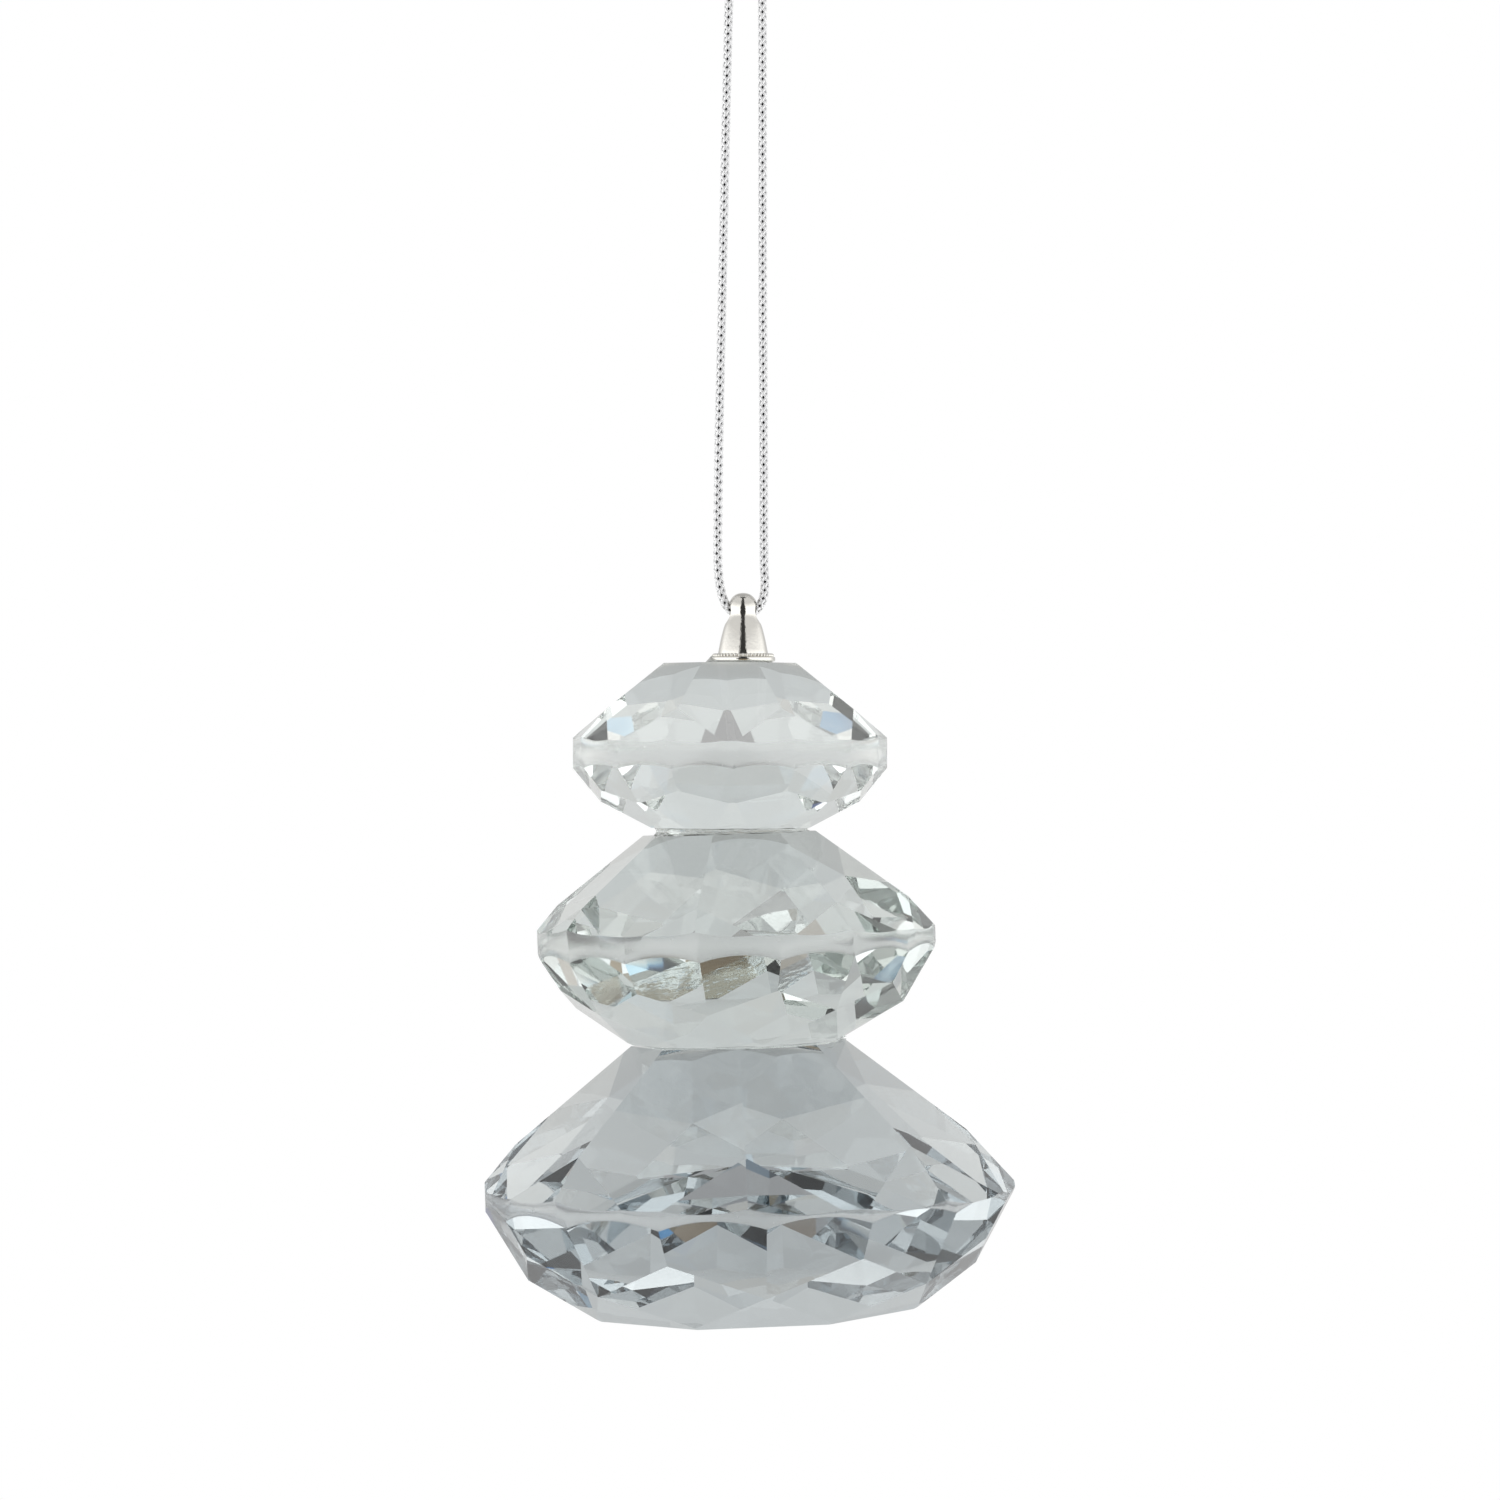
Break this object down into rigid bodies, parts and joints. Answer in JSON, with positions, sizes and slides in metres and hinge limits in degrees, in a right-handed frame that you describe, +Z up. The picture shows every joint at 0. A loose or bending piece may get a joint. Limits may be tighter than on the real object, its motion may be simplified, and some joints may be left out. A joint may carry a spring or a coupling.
{
  "type": "faceted glass hanging ornament",
  "caption": "Hanging ornament of faceted clear glass discs glued in a stack that widens downward, capped by a beaded metal bell threaded on a braided cord loop.",
  "frame": {"origin": "top of the cord loop, under its knot, where a hook or twig carries the ornament", "axes": "+Z up along the cord; +X along the cross hole of the cap; -Y is the front"},
  "size_m": [0.0601, 0.06, 0.1688],
  "materials": {
    "clear_glass": "polished facets with ground girdles",
    "clear_glue": "clear cured adhesive",
    "nickel_plate": "polished nickel plate, slightly uneven",
    "silver_braid": "metallic thread, round braid"
  },
  "bodies": {
    "knot": {"cord_knot": "silver_braid"},
    "cord_loop": {"hanging_cord": "silver_braid"},
    "ornament": {"bail_cap": "nickel_plate", "beaded_ring": "nickel_plate", "cap_bond": "clear_glue", "top_disc": "clear_glass", "upper_bond": "clear_glue", "middle_disc": "clear_glass", "lower_bond": "clear_glue", "bottom_disc": "clear_glass"}
  },
  "joints": [
    {"name": "cord_twist", "type": "hinge", "parent": "knot", "child": "cord_loop", "pos_m": [0, 0, 0], "axis": [0, 0, 1], "range_deg": [-180, 180], "stiffness_Nm_per_rad": 0.00014},
    {"name": "cap_tilt", "type": "hinge", "parent": "cord_loop", "child": "ornament", "pos_m": [0, 0, -0.0812], "axis": [1, 0, 0], "range_deg": [-110, 110]}
  ]
}
